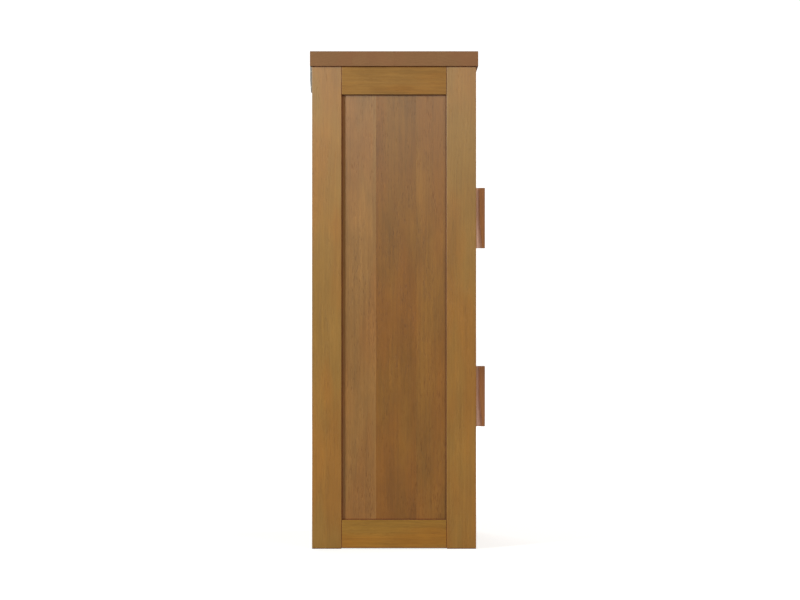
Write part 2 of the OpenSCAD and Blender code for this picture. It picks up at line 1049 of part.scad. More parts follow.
handle_screws(0);  // upper_handle_screws
leaf(hinge_zs(door_spans[0])[0], -1, 1);  // upper_top_door_leaf
leaf(hinge_zs(door_spans[0])[1], -1, 1);  // upper_bottom_door_leaf
door_screws(0);  // upper_door_screws
strike(catch_zs[0]);  // upper_strike
door_hinge_stile(1);  // lower_door_hinge_stile
door_handle_stile(1);  // lower_door_handle_stile
door_top_rail(1);  // lower_door_top_rail
door_bottom_rail(1);  // lower_door_bottom_rail
door_panel(1);  // lower_door_panel
handle(1);  // lower_handle
handle_screws(1);  // lower_handle_screws
leaf(hinge_zs(door_spans[1])[0], -1, 1);  // lower_top_door_leaf
leaf(hinge_zs(door_spans[1])[1], -1, 1);  // lower_bottom_door_leaf
door_screws(1);  // lower_door_screws
strike(catch_zs[1]);  // lower_strike
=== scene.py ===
"""Slim pantry cabinet in varnished solid wood: the visual model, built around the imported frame.

Every wooden piece starts as a merged copy of its CAD node. Its outer arrises are eased, glued-up panels are
sawn into their boards, and each board gets its own cut of the same timber. Metres, in the CAD's own frame.
"""

import json
import logging
import math
import random
from dataclasses import dataclass, replace
from enum import Enum
from typing import Iterable, Sequence

import bmesh
import bpy
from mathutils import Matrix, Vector


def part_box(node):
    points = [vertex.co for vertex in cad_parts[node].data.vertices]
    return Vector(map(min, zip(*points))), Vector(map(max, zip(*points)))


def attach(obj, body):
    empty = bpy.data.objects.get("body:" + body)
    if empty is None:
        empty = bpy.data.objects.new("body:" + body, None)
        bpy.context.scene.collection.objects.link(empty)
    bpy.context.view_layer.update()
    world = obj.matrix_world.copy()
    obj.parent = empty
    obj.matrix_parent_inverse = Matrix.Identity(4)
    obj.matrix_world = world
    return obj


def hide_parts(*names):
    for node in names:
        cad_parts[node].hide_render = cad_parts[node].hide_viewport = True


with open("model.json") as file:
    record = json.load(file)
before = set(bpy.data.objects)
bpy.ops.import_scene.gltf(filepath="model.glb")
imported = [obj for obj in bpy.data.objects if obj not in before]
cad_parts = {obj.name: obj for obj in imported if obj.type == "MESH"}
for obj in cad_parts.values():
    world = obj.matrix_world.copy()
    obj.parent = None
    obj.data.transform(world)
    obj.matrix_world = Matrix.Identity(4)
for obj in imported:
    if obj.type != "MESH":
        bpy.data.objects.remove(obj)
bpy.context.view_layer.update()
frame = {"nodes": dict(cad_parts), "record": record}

LOG = logging.getLogger("pantry_cabinet")

MM = 0.001

# what lies closer than this counts as touching
TOUCH = 0.02 * MM

# how far the fibres lean off their axis, and the middle value of a noise
FIBRE_LEAN = 0.03
MIDDLE = 0.5

# how many boards make a frame, and how many are glued into a panel
FRAME_BOARDS = 4
PANEL_BOARDS = 3

# the axes that glued boards lie side by side on
ACROSS_WIDTH = 0
ACROSS_DEPTH = 1

Colour = tuple[float, float, float]
Socket = bpy.types.NodeSocket
Node = bpy.types.Node
Mesh = bmesh.types.BMesh

NEUTRAL = (1.0, 1.0, 1.0)
WARM = (1.0, 0.9, 0.72)
COOL = (0.88, 1.0, 0.94)

RECORD = frame["record"]
BODY_OF = {node: body for body, nodes in RECORD["behaviour"]["bodies"].items() for node in nodes}


class Grain(Enum):
    """The axis that a board's grain runs along, as an index into X, Y, Z."""

    ALONG_X = 0
    ALONG_Y = 1
    ALONG_Z = 2

    def turn(self) -> tuple[float, float, float]:
        """Turns the grain upright.

        Returns:
            The rotation that brings the grain to the pattern's Z axis.
        """
        quarter = math.pi / 2
        return {
            Grain.ALONG_X: (0.0, -quarter, 0.0),
            Grain.ALONG_Y: (quarter, 0.0, 0.0),
            Grain.ALONG_Z: (0.0, 0.0, 0.0),
        }[self]

    def along(self) -> tuple[float, float, float]:
        """The direction of the fibres, a touch off the axis so that no flat end lies square to it."""
        return tuple(1.0 if axis == self.value else FIBRE_LEAN for axis in range(3))


class Level(Enum):
    """Which of the two doors a piece belongs to."""

    UPPER = "upper"
    LOWER = "lower"


class Hand(Enum):
    """Which side of the cabinet a piece belongs to, seen from the front."""

    LEFT = "left"
    RIGHT = "right"


# ---------------------------------------------------------------- node graphs


@dataclass(frozen=True)
class Pattern:
    """A noise that is drawn out along the grain.

    Args:
        across: how quickly it changes across the grain, per metre.
        along: how quickly it changes along the grain, per metre.
        detail: how many finer layers lie on it.
        rough: how strong the finer layers are.
    """

    across: float
    along: float
    detail: float = 2.0
    rough: float = 0.5


class Graph:
    """A shader node tree, with short calls that add nodes and wire them.

    Args:
        tree: the node tree to build in.
    """

    def __init__(self, tree: bpy.types.NodeTree) -> None:
        """Keeps the tree and empties it."""
        self.tree = tree
        tree.nodes.clear()

    def wire(self, value: object, socket: Socket) -> None:
        """Feeds a socket from another socket, or sets it to a plain value.

        Args:
            value: an output socket, a number, or a sequence of numbers.
            socket: the input to feed.
        """
        if isinstance(value, Socket):
            self.tree.links.new(value, socket)
        elif socket.type == "RGBA" and len(value) == 3:
            socket.default_value = (*value, 1.0)
        else:
            socket.default_value = value

    def add(self, kind: str, inputs: dict | None = None, **settings: object) -> Node:
        """Adds a node.

        Args:
            kind: the node's type name, such as ShaderNodeMath.
            inputs: what goes into its sockets, by name or number.
            settings: the node's own settings.

        Returns:
            The new node.
        """
        node = self.tree.nodes.new(kind)
        for key, value in settings.items():
            setattr(node, key, value)
        for key, value in (inputs or {}).items():
            self.wire(value, node.inputs[key])
        return node

    def group(self, name: str, inputs: dict | None = None) -> Node:
        """Places one of the shared node groups."""
        return self.add("ShaderNodeGroup", inputs, node_tree=GROUPS[name])

    def math(self, operation: str, first: object, second: object = 0.0, clamp: bool = False) -> Socket:
        """Adds a Math node and returns its output."""
        node = self.add("ShaderNodeMath", {0: first, 1: second}, operation=operation, use_clamp=clamp)
        return node.outputs[0]

    def scaled(self, value: object, factor: float, offset: float) -> Socket:
        """A value times a factor plus an offset."""
        node = self.add("ShaderNodeMath", {0: value, 1: factor, 2: offset}, operation="MULTIPLY_ADD")
        return node.outputs[0]

    def blend(self, share: object, first: object, second: object, mode: str = "MIX") -> Socket:
        """Mixes two colours.

        Args:
            share: how much of the second colour, from 0 to 1.
            first: the colour underneath.
            second: the colour laid over it.
            mode: Blender's blend type.

        Returns:
            The mixed colour.
        """
        node = self.add("ShaderNodeMix", data_type="RGBA", blend_type=mode)
        for name, value in (("Factor_Float", share), ("A_Color", first), ("B_Color", second)):
            self.wire(value, next(s for s in node.inputs if s.identifier == name))
        return next(s for s in node.outputs if s.identifier == "Result_Color")

    def vector(self, operation: str, first: object, second: object) -> Socket:
        """Adds a Vector Math node on two vectors and returns the vector that comes out."""
        node = self.add("ShaderNodeVectorMath", {0: first, 1: second}, operation=operation)
        return node.outputs["Vector"]

    def length(self, vector: object) -> Socket:
        """The length of a vector."""
        return self.add("ShaderNodeVectorMath", {0: vector}, operation="LENGTH").outputs["Value"]

    def band(self, value: object, low: float, high: float) -> Socket:
        """A smooth step from 0 at low to 1 at high, which falls where low is the greater."""
        inputs = {"Value": value, "From Min": low, "From Max": high}
        return self.add("ShaderNodeMapRange", inputs, interpolation_type="SMOOTHSTEP").outputs["Result"]

    def noise(self, vector: object, scale: float, detail: float = 2.0, rough: float = 0.5) -> Node:
        """Adds a Noise Texture node and returns it."""
        inputs = {"Vector": vector, "Scale": scale, "Detail": detail, "Roughness": rough}
        return self.add("ShaderNodeTexNoise", inputs)

    def drawn(self, vector: object, pattern: Pattern) -> Node:
        """Adds a noise drawn out along Z, and returns its node."""
        stretched = self.vector("MULTIPLY", vector, (pattern.across, pattern.across, pattern.along))
        return self.noise(stretched, 1.0, pattern.detail, pattern.rough)

    def bump(self, shader: Node, height: object, strength: float, distance: float) -> None:
        """Wires a height to a shader's normal.

        Args:
            shader: the shader node.
            height: the height, from 0 to 1.
            strength: how strongly it shows.
            distance: how far apart heights 0 and 1 lie.
        """
        inputs = {"Strength": strength, "Distance": distance, "Height": height}
        self.wire(self.add("ShaderNodeBump", inputs).outputs["Normal"], shader.inputs["Normal"])


def new_group(
    name: str, inputs: Sequence[tuple], outputs: Sequence[tuple[str, str]]
) -> tuple[Graph, dict[str, Socket], Node]:
    """Starts a shader node group.

    Args:
        name: the group's name.
        inputs: (name, socket type, default) of each input.
        outputs: (name, socket type) of each output.

    Returns:
        The group's graph, its input sockets by name, and its output node.
    """
    tree = bpy.data.node_groups.new(name, "ShaderNodeTree")
    graph = Graph(tree)
    for label, kind, default in inputs:
        socket = tree.interface.new_socket(label, in_out="INPUT", socket_type=kind)
        if kind == "NodeSocketColor":
            socket.default_value = (*default, 1.0)
        elif kind != "NodeSocketVector":
            socket.default_value = default
    for label, kind in outputs:
        tree.interface.new_socket(label, in_out="OUTPUT", socket_type=kind)
    entry = graph.add("NodeGroupInput")
    return graph, {label: entry.outputs[label] for label, _, _ in inputs}, graph.add("NodeGroupOutput")


# the timber's patterns, from the slowest to the finest
WANDER = Pattern(7.0, 1.1)
DRIFT = Pattern(14.0, 3.2)
CLOUD = Pattern(20.0, 7.0)
PATCH = Pattern(34.0, 11.0, detail=1.0)
WOBBLE = Pattern(60.0, 2.5, detail=1.0)
STREAK = Pattern(190.0, 3.2, rough=0.55)
DASH = Pattern(300.0, 32.0, rough=0.6)
PORE = Pattern(560.0, 62.0, detail=1.5, rough=0.45)
FIBRE = Pattern(1500.0, 24.0, detail=4.0, rough=0.65)

# how far the rings wander, in metres, and how far they wobble, in ring widths
WANDER_REACH = 0.055
WOBBLE_REACH = 1.3

# a ring darkens over one stretch of its width and ends over another
RING_DARKENS = (0.1, 0.85)
RING_ENDS = (0.9, 1.0)

# where each pattern's mask begins and is full
DRIFT_BAND = (0.38, 0.62)
PATCH_BAND = (0.42, 0.6)
PORE_BAND = (0.56, 0.68)

DRIFT_SHARE = 0.8
SPARSE_PORES = 0.3
# a painted highlight beside each pore: how far off it lies, and how it lightens the colour
RIM_HIGHLIGHT_SHIFT = (0.7 * MM, 0.7 * MM, 3 * MM)
RIM_HIGHLIGHT = (1.32, 1.32, 1.4)
PORE_SHADE = (0.5, 0.4, 0.3)
FIBRE_RELIEF = 0.45
RING_RELIEF = 0.25


def timber_group() -> bpy.types.NodeTree:
    """Builds the figure of sawn hardwood: growth rings, colour drift, fibres and short open pores.

    Returns:
        A group whose Vector input has the grain along Z, in metres.
    """
    graph, given, out = new_group(
        "timber_figure",
        [
            ("Vector", "NodeSocketVector", None),
            ("Early", "NodeSocketColor", (0.4, 0.25, 0.1)),
            ("Late", "NodeSocketColor", (0.3, 0.17, 0.06)),
            ("Drift", "NodeSocketColor", (0.4, 0.2, 0.07)),
            ("Ring Size", "NodeSocketFloat", 7 * MM),
            ("Ring Depth", "NodeSocketFloat", 0.4),
            ("Pore Depth", "NodeSocketFloat", 0.4),
            ("Contrast", "NodeSocketFloat", 1.0),
        ],
        [("Color", "NodeSocketColor"), ("Pores", "NodeSocketFloat"), ("Relief", "NodeSocketFloat")],
    )
    place = given["Vector"]
    # the rings wander slowly along the board, which draws the cathedral figure
    wander = graph.drawn(place, WANDER).outputs["Color"]
    centred = graph.vector("SUBTRACT", wander, (MIDDLE,) * 3)
    pushed = graph.vector("MULTIPLY", centred, (WANDER_REACH,) * 3)
    flat = graph.vector("MULTIPLY", graph.vector("ADD", place, pushed), (1.0, 1.0, 0.0))
    radius = graph.math("DIVIDE", graph.length(flat), given["Ring Size"])
    wobble = graph.math("MULTIPLY", graph.drawn(place, WOBBLE).outputs[0], WOBBLE_REACH)
    phase = graph.math("FRACT", graph.math("ADD", radius, wobble))
    ring = graph.math("SUBTRACT", graph.band(phase, *RING_DARKENS), graph.band(phase, *RING_ENDS))

    fibre = graph.drawn(place, FIBRE).outputs[0]
    drift = graph.band(graph.drawn(place, DRIFT).outputs[0], *DRIFT_BAND)
    patch = graph.band(graph.drawn(place, PATCH).outputs[0], *PATCH_BAND)
    amount = graph.scaled(patch, 1.0 - SPARSE_PORES, SPARSE_PORES)
    # each open pore has a painted highlight beside it, where its rim would catch the light
    beside = graph.vector("ADD", place, RIM_HIGHLIGHT_SHIFT)
    dots = (graph.band(graph.drawn(spot, PORE).outputs[0], *PORE_BAND) for spot in (place, beside))
    pores, rim_highlights = (graph.math("MULTIPLY", dot, amount, clamp=True) for dot in dots)

    body = graph.blend(graph.math("MULTIPLY", ring, given["Ring Depth"]), given["Early"], given["Late"])
    body = graph.blend(graph.math("MULTIPLY", drift, DRIFT_SHARE), body, given["Drift"])
    uneven = 0.0
    streak, cloud, dash = (graph.drawn(place, pattern).outputs[0] for pattern in (STREAK, CLOUD, DASH))
    # each layer lightens or darkens as it strays from its middle value
    for layer, weight in ((fibre, 0.42), (streak, 0.32), (cloud, 0.6), (dash, 0.3)):
        strayed = graph.math("SUBTRACT", layer, MIDDLE)
        uneven = graph.math("ADD", uneven, graph.math("MULTIPLY", strayed, weight))
    shade = graph.math("ADD", graph.math("MULTIPLY", uneven, given["Contrast"]), 1.0)
    grey = graph.add("ShaderNodeCombineXYZ", {0: shade, 1: shade, 2: shade}).outputs[0]
    body = graph.blend(1.0, body, grey, "MULTIPLY")
    for marks, factor in ((rim_highlights, RIM_HIGHLIGHT), (pores, PORE_SHADE)):
        marked = graph.blend(1.0, body, factor, "MULTIPLY")
        body = graph.blend(graph.math("MULTIPLY", marks, given["Pore Depth"]), body, marked)
    graph.wire(body, out.inputs["Color"])
    graph.wire(pores, out.inputs["Pores"])
    relief = graph.math(
        "ADD", graph.math("MULTIPLY", fibre, FIBRE_RELIEF), graph.math("MULTIPLY", ring, RING_RELIEF)
    )
    graph.wire(graph.math("SUBTRACT", relief, pores), out.inputs["Relief"])
    return graph.tree


# where the masks of wear, painted crevice shade, scratches and stain begin and are full
WEAR_BAND = (0.3, 0.7)
CREVICE_BAND = (0.98, 0.68)
SCRATCH_BAND = (0.4, 0.7)
STAIN_BAND = (0.38, 0.7)

SCRATCH = Pattern(1600.0, 60.0, rough=0.6)


def arris_group() -> bpy.types.NodeTree:
    """Builds a mask of the edges, where a finish wears first.

    Returns:
        A group that puts out the mask, broken up by a noise.
    """
    graph, given, out = new_group(
        "arris_wear",
        [
            ("Vector", "NodeSocketVector", None),
            ("Width", "NodeSocketFloat", 2 * MM),
            ("Gain", "NodeSocketFloat", 3.0),
        ],
        [("Mask", "NodeSocketFloat")],
    )
    rounded = graph.add("ShaderNodeBevel", {"Radius": given["Width"]}, samples=3).outputs["Normal"]
    plain = graph.add("ShaderNodeNewGeometry").outputs["Normal"]
    alike = graph.add("ShaderNodeVectorMath", {0: rounded, 1: plain}, operation="DOT_PRODUCT")
    turned = graph.math("SUBTRACT", 1.0, alike.outputs["Value"])
    edge = graph.math("MULTIPLY", turned, given["Gain"], clamp=True)
    broken = graph.band(graph.noise(given["Vector"], 60.0, 3.0).outputs[0], *WEAR_BAND)
    graph.wire(graph.math("MULTIPLY", edge, broken), out.inputs["Mask"])
    return graph.tree


def crevice_shade_group() -> bpy.types.NodeTree:
    """Builds a mask of the corners and joints, from how shut in they are, for the painted shade there.

    Returns:
        A group that puts out the mask.
    """
    graph, given, out = new_group(
        "painted_crevice_shade", [("Reach", "NodeSocketFloat", 3.5 * MM)], [("Mask", "NodeSocketFloat")]
    )
    open_sky = graph.add("ShaderNodeAmbientOcclusion", {"Distance": given["Reach"]}, samples=4)
    graph.wire(graph.band(open_sky.outputs["AO"], *CREVICE_BAND), out.inputs["Mask"])
    return graph.tree


def rubbed_group() -> bpy.types.NodeTree:
    """Builds the handling marks of metal and plastic: fine scratches and a slow stain.

    Returns:
        A group that puts out a scratch mask and a stain mask.
    """
    graph, given, out = new_group(
        "rubbed_surface",
        [("Vector", "NodeSocketVector", None)],
        [("Scratches", "NodeSocketFloat"), ("Stain", "NodeSocketFloat")],
    )
    scratch = graph.drawn(given["Vector"], SCRATCH).outputs[0]
    graph.wire(graph.band(scratch, *SCRATCH_BAND), out.inputs["Scratches"])
    stain = graph.noise(given["Vector"], 130.0, 4.0, 0.6).outputs[0]
    graph.wire(graph.band(stain, *STAIN_BAND), out.inputs["Stain"])
    return graph.tree


GROUPS = {
    "timber": timber_group(),
    "arris": arris_group(),
    "crevice": crevice_shade_group(),
    "rubbed": rubbed_group(),
}


# ------------------------------------------------------------------- finishes


@dataclass(frozen=True)
class Sheen:
    """How a varnished board shines across its grain.

    Args:
        level: strength of the shine.
        stretch: how far it is drawn out across the grain.
    """

    level: float
    stretch: float


UPRIGHT_SHEEN = Sheen(level=0.85, stretch=0.9)
LEVEL_SHEEN = Sheen(level=0.4, stretch=0.3)

# factors on the wood's colour, where an arris is worn and where painted shade darkens corners and joints
WORN_LIGHT = (1.22, 1.18, 1.12)
WORN_SHARE = 0.4
CREVICE_SHADE = (0.56, 0.28, 0.08)

# what open pores, worn arrises and the corners under painted shade add to the roughness
PORE_ROUGH = 0.2
WORN_ROUGH = 0.12
CREVICE_SHADE_ROUGH = 0.4

# how far a face has to turn to the grain to be end grain, and how much of the figure it loses
END_GRAIN = (0.75, 0.95)
END_LOSS = 0.7

# where in a log a board may come from: its two distances from the pith, and its height, in metres
PITH_AWAY = (0.07, 0.16)
PITH_BESIDE = (-0.06, 0.06)
LOG_HEIGHT = (1.0, 9.0)

# the height is drawn apart from the rest, with a seed this much higher
HEIGHT_DRAW = 7


@dataclass(frozen=True)
class WoodFinish:
    """One cut of timber under its varnish.

    Args:
        early: colour of the spring wood.
        late: colour of the summer wood.
        drift: colour that the board drifts towards in places.
        end: factor on the colour where the board's ends show.
        grain: the axis that the grain runs along.
        ring_size: distance between growth rings.
        ring_depth: how strongly the rings show.
        pore_depth: how dark the open pores are.
        contrast: how strongly streaks and clouds show.
        tone: factor on the whole colour.
        rough: roughness of the varnish over plain wood.
        coat: weight of the clear coat.
        pith: where the heart of the log lies from the board's own pattern, across the grain.
        seed: which stretch of the log the board was cut from.
    """

    early: Colour
    late: Colour
    drift: Colour
    end: Colour = (0.72, 0.62, 0.6)
    grain: Grain = Grain.ALONG_Z
    ring_size: float = 7 * MM
    ring_depth: float = 0.35
    pore_depth: float = 0.45
    contrast: float = 1.0
    tone: Colour = (1.0, 1.0, 1.0)
    rough: float = 0.5
    coat: float = 0.15
    pith: tuple[float, float] = (0.11, 0.05)
    seed: int = 0

    @property
    def sheen(self) -> Sheen:
        """The shine of this board, which depends on how it was planed and laid."""
        return UPRIGHT_SHEEN if self.grain is Grain.ALONG_Z else LEVEL_SHEEN

    def tinted(self, colour: Colour) -> Colour:
        """The colour with this board's own tone on it."""
        return tuple(part * factor for part, factor in zip(colour, self.tone))

    def cut(self, seed: int, grain: Grain, spread: float = 0.05) -> "WoodFinish":
        """Takes another board from the same timber.

        Args:
            seed: which board.
            grain: the axis that its grain runs along.
            spread: how far its tone may stray.

        Returns:
            The finish of that board.
        """
        draw = random.Random(seed)
        light = 1.0 + draw.uniform(-spread, spread)
        warm = draw.uniform(-spread, spread) / 2
        tone = (self.tone[0] * (light + warm), self.tone[1] * light, self.tone[2] * (light - warm))
        pith = (draw.uniform(*PITH_AWAY), draw.uniform(*PITH_BESIDE))
        return replace(self, grain=grain, seed=seed, pith=pith, tone=tone)

    def shine(self, graph: Graph, shader: Node) -> None:
        """Sets the clear coat, and the sheen that is drawn out across the fibres.

        Args:
            graph: the material's graph.
            shader: its shader node.
        """
        for socket, value in (
            ("Coat Weight", self.coat),
            ("Coat Roughness", 0.3),
            ("Specular IOR Level", self.sheen.level),
            ("Anisotropic", self.sheen.stretch),
            ("Anisotropic Rotation", 0.25),
        ):
            shader.inputs[socket].default_value = value
        settings = {"vector_type": "VECTOR", "convert_from": "OBJECT", "convert_to": "WORLD"}
        fibre = graph.add("ShaderNodeVectorTransform", {0: self.grain.along()}, **settings)
        graph.wire(fibre.outputs[0], shader.inputs["Tangent"])

    def place_in_log(self, graph: Graph, where: Socket) -> Socket:
        """Finds where a point lay in the log that the board was cut from.

        Args:
            graph: the material's graph.
            where: the point's place on the cabinet.

        Returns:
            The place in the log, with the grain along Z.
        """
        turned = graph.add("ShaderNodeMapping", {"Vector": where, "Rotation": self.grain.turn()})
        height = random.Random(self.seed + HEIGHT_DRAW).uniform(*LOG_HEIGHT)
        return graph.vector("ADD", turned.outputs[0], (*self.pith, height))

    def figure(self, graph: Graph, place: Socket, calm: Socket) -> Node:
        """Places the timber's figure in this board's own colours.

        Args:
            graph: the material's graph.
            place: where a point lay in the log.
            calm: factor on the pores and on the contrast.

        Returns:
            The figure's node.
        """
        inputs = {
            "Vector": place,
            "Early": self.tinted(self.early),
            "Late": self.tinted(self.late),
            "Drift": self.tinted(self.drift),
            "Ring Size": self.ring_size,
            "Ring Depth": self.ring_depth,
            "Pore Depth": graph.math("MULTIPLY", calm, self.pore_depth),
            "Contrast": graph.math("MULTIPLY", calm, self.contrast),
        }
        return graph.group("timber", inputs)

    def material(self, name: str) -> bpy.types.Material:
        """Builds the material.

        Args:
            name: the board's name.

        Returns:
            A material that reads Object coordinates.
        """
        graph, shader = plain_material(f"wood_{name}", self.rough)
        self.shine(graph, shader)
        where = graph.add("ShaderNodeTexCoord")
        place = self.place_in_log(graph, where.outputs["Object"])
        facing = graph.add("ShaderNodeSeparateXYZ", {0: where.outputs["Normal"]}).outputs[self.grain.value]
        cut_end = graph.band(graph.math("ABSOLUTE", facing), *END_GRAIN)
        # end grain drinks the varnish, so its figure and relief show less
        calm = graph.scaled(cut_end, -END_LOSS, 1.0)
        figure = self.figure(graph, place, calm)
        worn = graph.group("arris", {"Vector": place}).outputs["Mask"]
        # painted shade: corners and joints darken by how shut in they are
        stain_and_shade = graph.group("crevice").outputs["Mask"]
        wood = figure.outputs["Color"]
        worn_share = graph.math("MULTIPLY", worn, WORN_SHARE)
        for share, factor in ((cut_end, self.end), (worn_share, WORN_LIGHT), (stain_and_shade, CREVICE_SHADE)):
            wood = graph.blend(share, wood, graph.blend(1.0, wood, factor, "MULTIPLY"))
        graph.wire(wood, shader.inputs["Base Color"])
        rough = graph.scaled(figure.outputs["Pores"], PORE_ROUGH, self.rough)
        rough = graph.math("ADD", rough, graph.math("MULTIPLY", worn, WORN_ROUGH))
        rough = graph.math("ADD", rough, graph.math("MULTIPLY", stain_and_shade, CREVICE_SHADE_ROUGH), clamp=True)
        graph.wire(rough, shader.inputs["Roughness"])
        relief = graph.math("MULTIPLY", figure.outputs["Relief"], calm)
        graph.bump(shader, relief, strength=0.32, distance=0.25 * MM)
        return bpy.data.materials[f"wood_{name}"]


@dataclass(frozen=True)
class MetalFinish:
    """Bare or plated metal.

    Args:
        name: the finish's name.
        bright: colour of the clean metal.
        dull: colour where it has tarnished.
        rough: roughness of the clean metal.
        stain: how much tarnish shows.
        bared: how much worn edges are rubbed bright.
        scratch_rough: what scratches add to the roughness.
        tarnish_rough: what tarnish adds to it.
        arris: how wide the wear on its edges is.
    """

    name: str
    bright: Colour
    dull: Colour
    rough: float = 0.35
    stain: float = 0.6
    bared: float = 0.5
    scratch_rough: float = 0.14
    tarnish_rough: float = 0.15
    arris: float = 0.5 * MM

    def material(self) -> bpy.types.Material:
        """Builds the material, or finds it if it is there.

        Returns:
            A material that reads Object coordinates.
        """
        name = f"metal_{self.name}"
        if name in bpy.data.materials:
            return bpy.data.materials[name]
        graph, shader = plain_material(name, self.rough)
        shader.inputs["Metallic"].default_value = 1.0
        _, marks, worn = handling_marks(graph, self.arris)
        tarnish = graph.math("MULTIPLY", marks.outputs["Stain"], self.stain)
        colour = graph.blend(tarnish, self.bright, self.dull)
        colour = graph.blend(graph.math("MULTIPLY", worn, self.bared), colour, self.bright)
        graph.wire(colour, shader.inputs["Base Color"])
        rough = graph.scaled(marks.outputs["Scratches"], self.scratch_rough, self.rough)
        rough = graph.math("ADD", rough, graph.math("MULTIPLY", tarnish, self.tarnish_rough))
        graph.wire(rough, shader.inputs["Roughness"])
        graph.bump(shader, marks.outputs["Scratches"], strength=0.2, distance=0.05 * MM)
        return bpy.data.materials[name]


@dataclass(frozen=True)
class PlasticFinish:
    """Moulded plastic with a fine spark-eroded skin.

    Args:
        name: the finish's name.
        colour: its colour.
        rough: its roughness where it is clean.
        stain: how much the stain shows.
        stain_rough: what the stain adds to the roughness.
        fading: factor on the colour where it is stained or worn.
        skin: how fine the skin's pits are, per metre.
        arris: how wide the wear on its edges is.
    """

    name: str
    colour: Colour
    rough: float = 0.5
    stain: float = 0.25
    stain_rough: float = 0.12
    fading: float = 1.5
    skin: float = 2600.0
    arris: float = 0.6 * MM

    def material(self) -> bpy.types.Material:
        """Builds the material, or finds it if it is there.

        Returns:
            A material that reads Object coordinates.
        """
        name = f"plastic_{self.name}"
        if name in bpy.data.materials:
            return bpy.data.materials[name]
        graph, shader = plain_material(name, self.rough)
        where, marks, worn = handling_marks(graph, self.arris)
        stain_and_shade = marks.outputs["Stain"]
        faded = tuple(part * self.fading for part in self.colour)
        share = graph.math("ADD", graph.math("MULTIPLY", stain_and_shade, self.stain), worn, clamp=True)
        graph.wire(graph.blend(share, self.colour, faded), shader.inputs["Base Color"])
        graph.wire(graph.scaled(stain_and_shade, self.stain_rough, self.rough), shader.inputs["Roughness"])
        skin = graph.noise(where, self.skin, 1.0).outputs[0]
        graph.bump(shader, skin, strength=0.25, distance=0.05 * MM)
        return bpy.data.materials[name]


def plain_material(name: str, rough: float) -> tuple[Graph, Node]:
    """Starts a material with one Principled BSDF.

    Args:
        name: the material's name.
        rough: the shader's roughness before anything is wired to it.

    Returns:
        The material's graph and its shader node.
    """
    material = bpy.data.materials.new(name)
    material.use_nodes = True
    graph = Graph(material.node_tree)
    shader = graph.add("ShaderNodeBsdfPrincipled", {"Roughness": rough})
    graph.add("ShaderNodeOutputMaterial", {"Surface": shader.outputs[0]})
    return graph, shader


def handling_marks(graph: Graph, width: float) -> tuple[Socket, Node, Socket]:
    """Places the marks of handling that all bought parts have.

    Args:
        graph: the material's graph.
        width: how wide the wear on the edges is.

    Returns:
        A point's place on the cabinet, the node of scratches and stain, and the mask of the worn edges.
    """
    where = graph.add("ShaderNodeTexCoord").outputs["Object"]
    marks = graph.group("rubbed", {"Vector": where})
    worn = graph.group("arris", {"Vector": where, "Width": width}).outputs["Mask"]
    return where, marks, worn


FRAME_WOOD = WoodFinish(
    early=(0.312, 0.149, 0.024), late=(0.277, 0.124, 0.015), drift=(0.337, 0.131, 0.014),
    pore_depth=0.22, contrast=0.8,
)
PANEL_WOOD = WoodFinish(
    early=(0.25, 0.098, 0.011), late=(0.216, 0.078, 0.007), drift=(0.247, 0.084, 0.008),
    pore_depth=0.5, contrast=1.1,
)
TOP_WOOD = WoodFinish(
    early=(0.333, 0.178, 0.073), late=(0.28, 0.141, 0.055), drift=(0.333, 0.159, 0.066),
    rough=0.6, coat=0.04,
)
INSIDE_WOOD = WoodFinish(
    early=(0.45, 0.255, 0.115), late=(0.37, 0.195, 0.08), drift=(0.46, 0.24, 0.1), contrast=0.8, coat=0.0
)
HANDLE_WOOD = WoodFinish(
    early=(0.49, 0.22, 0.085), late=(0.37, 0.15, 0.055), drift=(0.5, 0.21, 0.075), rough=0.34, coat=0.3,
    ring_size=5 * MM, pore_depth=0.35,
)
# the finger grooves' pale finish is a painted sheen, standing in for light that the grooves don't get
GROOVE_PAINTED_SHEEN = replace(
    HANDLE_WOOD, early=(0.88, 0.63, 0.56), late=(0.78, 0.53, 0.46), drift=(0.86, 0.59, 0.54)
)
PLYWOOD = WoodFinish(
    early=(0.52, 0.325, 0.165), late=(0.43, 0.25, 0.115), drift=(0.52, 0.305, 0.145), ring_size=16 * MM,
    ring_depth=0.5, contrast=0.7, coat=0.0, rough=0.58,
)
ZINC = MetalFinish("zinc_steel", (0.48, 0.42, 0.38), (0.3, 0.24, 0.2), rough=0.42)
BRASS = MetalFinish("antique_brass", (0.62, 0.45, 0.21), (0.26, 0.17, 0.08), rough=0.32)
MAGNET = MetalFinish("ground_steel", (0.5, 0.5, 0.5), (0.3, 0.29, 0.28), rough=0.28)
BROWN_PLASTIC = PlasticFinish("brown_plastic", (0.07, 0.038, 0.02))


# -------------------------------------------------------------------- joinery


# closer points are one point, shorter edges are none, and flatter bends, in degrees, are flat
WELD = 0.002 * MM
SHORTEST_EDGE = 0.001 * MM
FLAT_BEND = 0.1

# how squarely a face has to look along an axis to lie flat on a box
SQUARE_ON = 0.99


def extents(verts: Iterable[bmesh.types.BMVert]) -> tuple[Vector, Vector]:
    """The lowest and highest corner of some vertices."""
    points = [v.co for v in verts]
    return Vector(map(min, zip(*points))), Vector(map(max, zip(*points)))


def merged_copy(node: str) -> Mesh:
    """Copies a CAD node, joins its loose triangles, and turns flat stretches back into whole faces.

    Args:
        node: the CAD node's name.

    Returns:
        A closed mesh where the node is.
    """
    bm = bmesh.new()
    bm.from_mesh(frame["nodes"][node].data)
    bmesh.ops.remove_doubles(bm, verts=bm.verts, dist=WELD)
    bmesh.ops.dissolve_degenerate(bm, edges=bm.edges, dist=SHORTEST_EDGE)
    bmesh.ops.dissolve_limit(bm, angle_limit=math.radians(FLAT_BEND), verts=bm.verts, edges=bm.edges)
    for face in bm.faces:
        face.material_index = 0
    bm.normal_update()
    return bm


